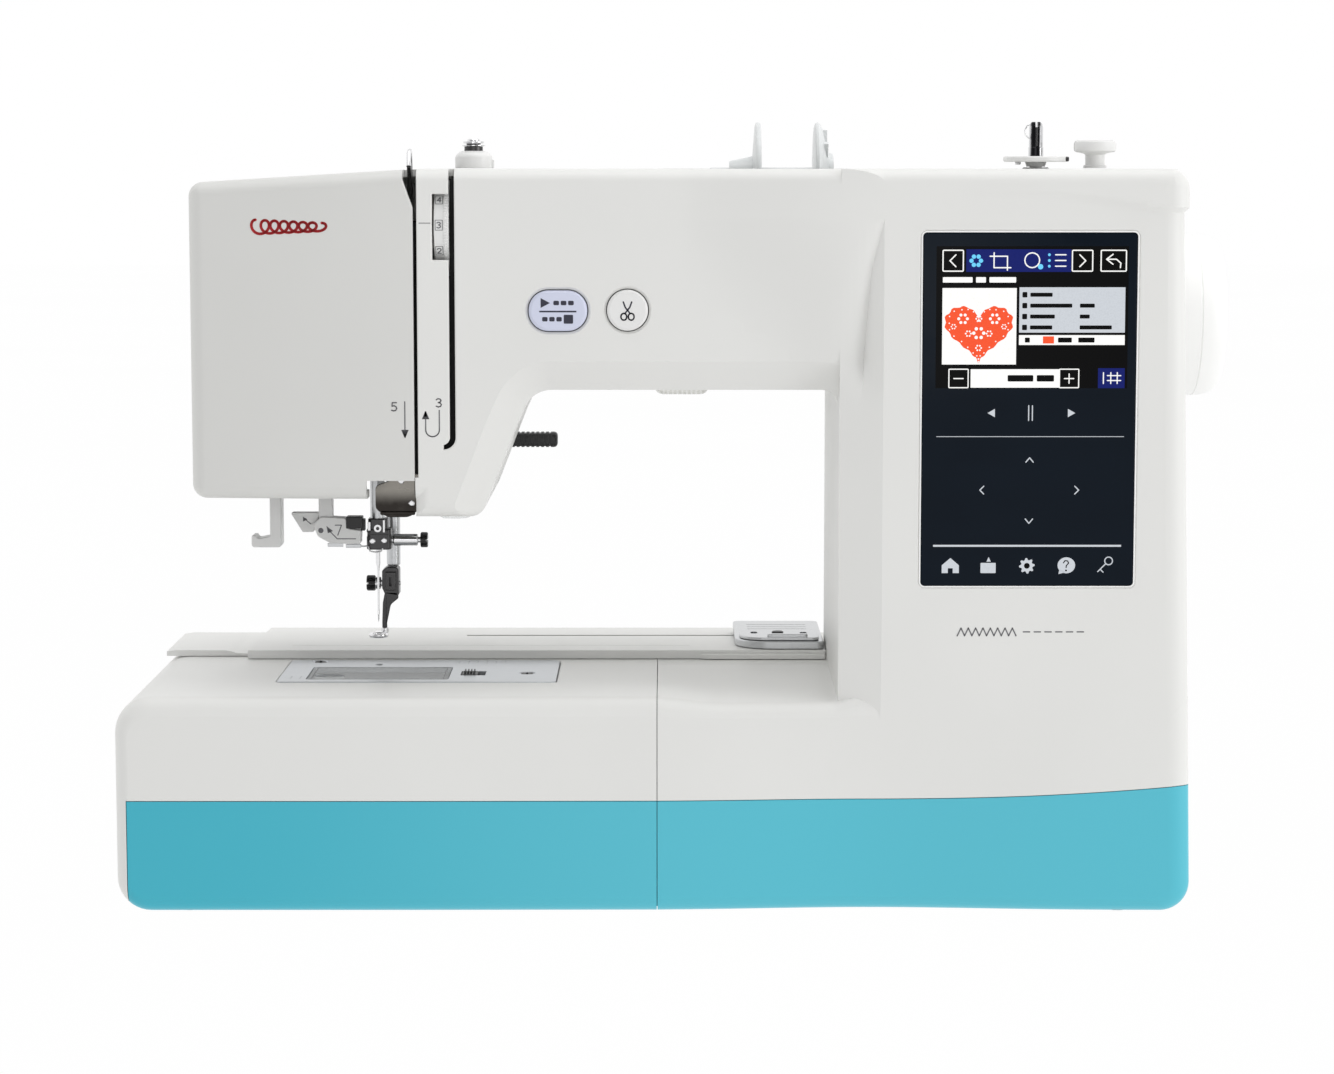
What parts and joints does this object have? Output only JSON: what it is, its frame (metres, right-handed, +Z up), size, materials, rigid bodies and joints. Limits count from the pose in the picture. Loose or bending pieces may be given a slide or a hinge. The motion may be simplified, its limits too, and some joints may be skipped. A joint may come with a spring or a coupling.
{
  "type": "sewing machine",
  "caption": "Electronic sewing and embroidery machine with a touch screen column, arm, needle head, flat bed, embroidery carriage, spool stand and hand wheel.",
  "frame": {"origin": "bottom centre of the whole machine, on the surface that the feet stand on", "axes": "+X towards the hand wheel, +Y away from the user, +Z up"},
  "size_m": [0.4652, 0.2, 0.3275],
  "materials": {
    "shell_white": "satin moulded plastic",
    "part_white": "satin moulded plastic",
    "band_blue": "smooth painted plastic",
    "screen_black": "polished",
    "lavender": "translucent satin",
    "steel": "brushed",
    "dark_steel": "darkened",
    "chrome": "polished",
    "casting": "as cast",
    "black_plastic": "moulded",
    "grey_plastic": "moulded",
    "clear_plastic": "clear",
    "rubber": "moulded",
    "board": "printed board"
  },
  "bodies": {
    "root": {"bed_band_left": "band_blue", "bed_band_right": "band_blue", "bed_cover": "shell_white", "face_cover": "shell_white", "front_cover": "shell_white", "rear_cover": "shell_white", "foot_front_left": "rubber", "foot_front_right": "rubber", "foot_rear_left": "rubber", "foot_rear_right": "rubber", "base_plate": "grey_plastic", "main_frame": "casting", "shaft_bush_left": "steel", "shaft_bush_right": "steel", "drive_motor": "dark_steel", "timing_belt": "rubber", "bobbin_case": "black_plastic", "needle_plate": "steel", "display_glass": "screen_black", "display_module": "board", "thread_guard_plate": "steel", "head_lamp_lens": "clear_plastic", "arm_lamp_lens": "clear_plastic", "thread_cutter": "part_white", "embroidery_unit_cover": "shell_white", "top_cover": "shell_white", "spool_stand": "part_white", "pretension_guide": "chrome", "winder_stopper": "part_white", "power_inlet": "black_plastic"},
    "main_drive": {"handwheel": "part_white", "upper_shaft": "steel", "shaft_pulley": "black_plastic"},
    "motor_drive": {"motor_pulley": "steel"},
    "hook_drive": {"lower_shaft": "steel"},
    "hook": {"rotary_hook": "steel"},
    "bobbin": {"bobbin": "clear_plastic"},
    "needle_carrier": {"needle_bar": "steel", "needle_clamp": "dark_steel", "needle": "chrome"},
    "clamp_screw": {"needle_clamp_screw": "chrome"},
    "presser": {"presser_bar": "steel", "embroidery_foot": "dark_steel"},
    "presser_screw": {"foot_screw": "black_plastic"},
    "lifter": {"presser_lifter": "black_plastic"},
    "take_up": {"take_up_lever": "steel"},
    "threader": {"threader_lever": "part_white", "threader_head": "part_white"},
    "tension_dial": {"tension_dial": "part_white"},
    "start_button": {"start_stop_button": "lavender"},
    "cutter_button": {"cutter_button": "part_white"},
    "hook_cover": {"hook_cover": "clear_plastic"},
    "cover_release": {"cover_release": "grey_plastic"},
    "carriage": {"embroidery_carriage": "steel"},
    "hoop_connector": {"hoop_connector": "steel"},
    "winder_arm": {"winder_arm": "part_white"},
    "winder_spindle": {"winder_spindle": "chrome"},
    "spool_cap": {"spool_cap": "part_white"},
    "carry_handle": {"carry_handle": "part_white"},
    "power_switch": {"power_switch": "black_plastic"}
  },
  "joints": [
    {"name": "main_drive_turn", "type": "hinge", "parent": "root", "child": "main_drive", "pos_m": [0.2, -0.005, 0.2445], "axis": [1, 0, 0], "continuous": true},
    {"name": "motor_turn", "type": "hinge", "parent": "root", "child": "motor_drive", "pos_m": [0.165, -0.005, 0.1345], "axis": [1, 0, 0], "continuous": true},
    {"name": "hook_drive_turn", "type": "hinge", "parent": "root", "child": "hook_drive", "pos_m": [0, -0.029, 0.048], "axis": [1, 0, 0], "continuous": true},
    {"name": "hook_turn", "type": "hinge", "parent": "root", "child": "hook", "pos_m": [-0.131, -0.029, 0.078], "axis": [0, 0, 1], "continuous": true},
    {"name": "bobbin_turn", "type": "hinge", "parent": "root", "child": "bobbin", "pos_m": [-0.131, -0.029, 0.078], "axis": [0, 0, 1], "continuous": true},
    {"name": "needle_bar_slide", "type": "slide", "parent": "root", "child": "needle_carrier", "axis": [0, 0, 1], "range_m": [-0.034, 0]},
    {"name": "clamp_screw_turn", "type": "hinge", "parent": "needle_carrier", "child": "clamp_screw", "pos_m": [-0.115, -0.01, 0.1473], "axis": [1, 0, 0], "range_deg": [0, 360]},
    {"name": "presser_slide", "type": "slide", "parent": "root", "child": "presser", "axis": [0, 0, 1], "range_m": [-0.012, 0]},
    {"name": "presser_screw_turn", "type": "hinge", "parent": "presser", "child": "presser_screw", "pos_m": [-0.135, 0.0004, 0.1271], "axis": [1, 0, 0], "range_deg": [0, 360]},
    {"name": "lifter_turn", "type": "hinge", "parent": "root", "child": "lifter", "pos_m": [-0.0863, 0.046, 0.2011], "axis": [0, 1, 0], "range_deg": [0, 50]},
    {"name": "take_up_swing", "type": "hinge", "parent": "root", "child": "take_up", "pos_m": [-0.1144, -0.02, 0.262], "axis": [1, 0, 0], "range_deg": [0, 60]},
    {"name": "threader_slide", "type": "slide", "parent": "root", "child": "threader", "axis": [0, 0, 1], "range_m": [-0.038, 0], "stiffness_N_per_m": 12, "springref_m": 0.02},
    {"name": "tension_dial_turn", "type": "hinge", "parent": "root", "child": "tension_dial", "pos_m": [-0.097, -0.0694, 0.284], "axis": [1, 0, 0], "range_deg": [-150, 150]},
    {"name": "start_button_press", "type": "slide", "parent": "root", "child": "start_button", "axis": [0, 1, 0], "range_m": [0, 0.0012], "stiffness_N_per_m": 400, "springref_m": -0.001},
    {"name": "cutter_button_press", "type": "slide", "parent": "root", "child": "cutter_button", "axis": [0, 1, 0], "range_m": [0, 0.0012], "stiffness_N_per_m": 400, "springref_m": -0.001},
    {"name": "hook_cover_lift", "type": "slide", "parent": "root", "child": "hook_cover", "axis": [0, 0, 1], "range_m": [0, 0.01]},
    {"name": "cover_release_push", "type": "slide", "parent": "root", "child": "cover_release", "axis": [1, 0, 0], "range_m": [0, 0.003], "stiffness_N_per_m": 60, "springref_m": -0.001},
    {"name": "carriage_slide", "type": "slide", "parent": "root", "child": "carriage", "axis": [1, 0, 0], "range_m": [-0.13, 0]},
    {"name": "hoop_connector_slide", "type": "slide", "parent": "carriage", "child": "hoop_connector", "axis": [0, 1, 0], "range_m": [0, 0.045]},
    {"name": "winder_arm_swing", "type": "hinge", "parent": "root", "child": "winder_arm", "pos_m": [0.1517, 0.01, 0.2965], "axis": [0, 0, 1], "range_deg": [0, 12]},
    {"name": "winder_spindle_turn", "type": "hinge", "parent": "winder_arm", "child": "winder_spindle", "pos_m": [0.1517, -0.02, 0.305], "axis": [0, 0, 1], "continuous": true},
    {"name": "spool_cap_slide", "type": "slide", "parent": "root", "child": "spool_cap", "axis": [1, 0, 0], "range_m": [-0.02, 0]},
    {"name": "carry_handle_lift", "type": "hinge", "parent": "root", "child": "carry_handle", "pos_m": [0.0225, 0.008, 0.3025], "axis": [1, 0, 0], "range_deg": [0, 90]},
    {"name": "power_switch_rock", "type": "hinge", "parent": "root", "child": "power_switch", "pos_m": [0.203, 0.054, 0.032], "axis": [0, 1, 0], "range_deg": [-12, 0]}
  ],
  "couplings": [
    {"joint": "motor_turn", "follows": "main_drive_turn", "ratio": 3.25},
    {"joint": "hook_drive_turn", "follows": "main_drive_turn", "ratio": 1},
    {"joint": "hook_turn", "follows": "main_drive_turn", "ratio": 2},
    {"joint": "lifter_turn", "follows": "presser_slide", "rad_per_m": -72.7}
  ]
}
